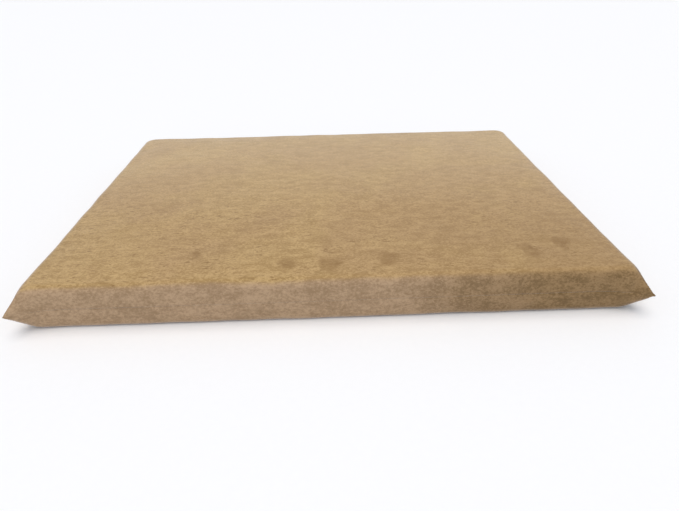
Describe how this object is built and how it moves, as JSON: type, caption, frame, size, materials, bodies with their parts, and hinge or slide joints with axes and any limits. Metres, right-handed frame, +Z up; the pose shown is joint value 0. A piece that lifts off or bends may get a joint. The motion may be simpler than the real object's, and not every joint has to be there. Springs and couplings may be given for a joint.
{
  "type": "pet cushion bed",
  "caption": "Flat rectangular foam pet bed in a sewn microsuede cover with eared corners and a zipper along the rear side.",
  "frame": {"origin": "centre of the underside, on the floor", "axes": "+Z up, X along the long side, +Y towards the zipper side (the rear)"},
  "size_m": [1.055, 0.801, 0.079],
  "materials": {
    "microsuede": "brushed tan-brown microsuede with a short nap",
    "foam_comfort": "open-cell soft polyurethane foam",
    "foam_base": "open-cell firm polyurethane foam",
    "liner": "thin plain-weave polyester",
    "thread": "spun polyester thread",
    "zipper_tape": "woven polyester tape",
    "zipper_coil": "semi-gloss nylon monofilament",
    "zipper_metal": "satin bronze lacquer over zinc",
    "label": "blank woven satin"
  },
  "bodies": {
    "cushion": {"foam_base_layer": "foam_base", "foam_comfort_layer": "foam_comfort", "inner_liner": "liner", "cover_top_panel": "microsuede", "cover_bottom_panel": "microsuede", "perimeter_seam_thread": "thread", "zipper_tape_upper": "zipper_tape", "zipper_tape_lower": "zipper_tape", "zipper_coil_upper": "zipper_coil", "zipper_coil_lower": "zipper_coil", "zipper_top_stop_upper": "zipper_metal", "zipper_top_stop_lower": "zipper_metal", "zipper_bottom_stop": "zipper_metal", "zipper_stitching_upper": "thread", "zipper_stitching_lower": "thread", "bar_tack_left": "thread", "bar_tack_right": "thread", "care_label": "label"},
    "slider": {"zipper_slider": "zipper_metal"},
    "pull_tab": {"zipper_pull_tab": "zipper_metal"}
  },
  "joints": [
    {"name": "zipper_slide", "type": "slide", "parent": "cushion", "child": "slider", "axis": [-1, 0, 0], "range_m": [0, 0.834], "deforming": ["zipper_coil_upper", "zipper_coil_lower"]},
    {"name": "pull_tab_swing", "type": "hinge", "parent": "slider", "child": "pull_tab", "pos_m": [0.41745, 0.3858, 0.0395], "axis": [0, 0, -1], "range_deg": [0, 180]}
  ]
}
